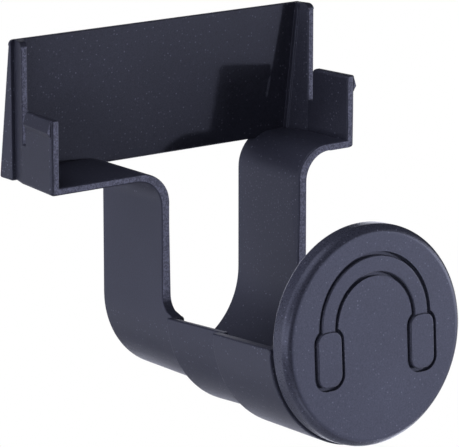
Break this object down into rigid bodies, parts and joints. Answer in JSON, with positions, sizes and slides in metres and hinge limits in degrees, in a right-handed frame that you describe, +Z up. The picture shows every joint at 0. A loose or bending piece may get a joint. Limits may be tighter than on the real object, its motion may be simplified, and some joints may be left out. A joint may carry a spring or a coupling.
{
  "type": "headphone hook",
  "caption": "Snap-in clip with flexing latch tabs, a hanging U-shaped cradle and a half-pipe peg with a round end cap, for hanging headphones from a slot.",
  "frame": {"origin": "foot of the back plate, in the middle of the clip, level with the underside of the floors", "axes": "+X along the clip to the right seen from the front, +Y to the back plate and the wall side, +Z up"},
  "size_m": [0.0936, 0.0808, 0.0934],
  "materials": {
    "clip_plastic": "fine spark-eroded matte, dark blue-grey",
    "cradle_plastic": "fine spark-eroded matte, dark blue-grey",
    "cap_plastic": "fine matte with softly polished rim, dark blue-grey"
  },
  "bodies": {
    "root": {"clip_frame": "clip_plastic", "cradle_strap": "cradle_plastic", "peg_sleeve": "cradle_plastic", "peg_shell": "cradle_plastic", "end_cap": "cap_plastic", "cap_emblem": "cap_plastic"},
    "left_latch": {"left_latch_tab": "clip_plastic"},
    "right_latch": {"right_latch_tab": "clip_plastic"}
  },
  "joints": [
    {"name": "left_latch_flex", "type": "hinge", "parent": "root", "child": "left_latch", "pos_m": [-0.04481, -0.02493, 0.0099], "axis": [0.1097, 0.994, 0], "range_deg": [0, 6], "stiffness_Nm_per_rad": 0.8},
    {"name": "right_latch_flex", "type": "hinge", "parent": "root", "child": "right_latch", "pos_m": [0.04481, -0.02493, 0.0099], "axis": [0.1097, -0.994, 0], "range_deg": [0, 6], "stiffness_Nm_per_rad": 0.8}
  ]
}
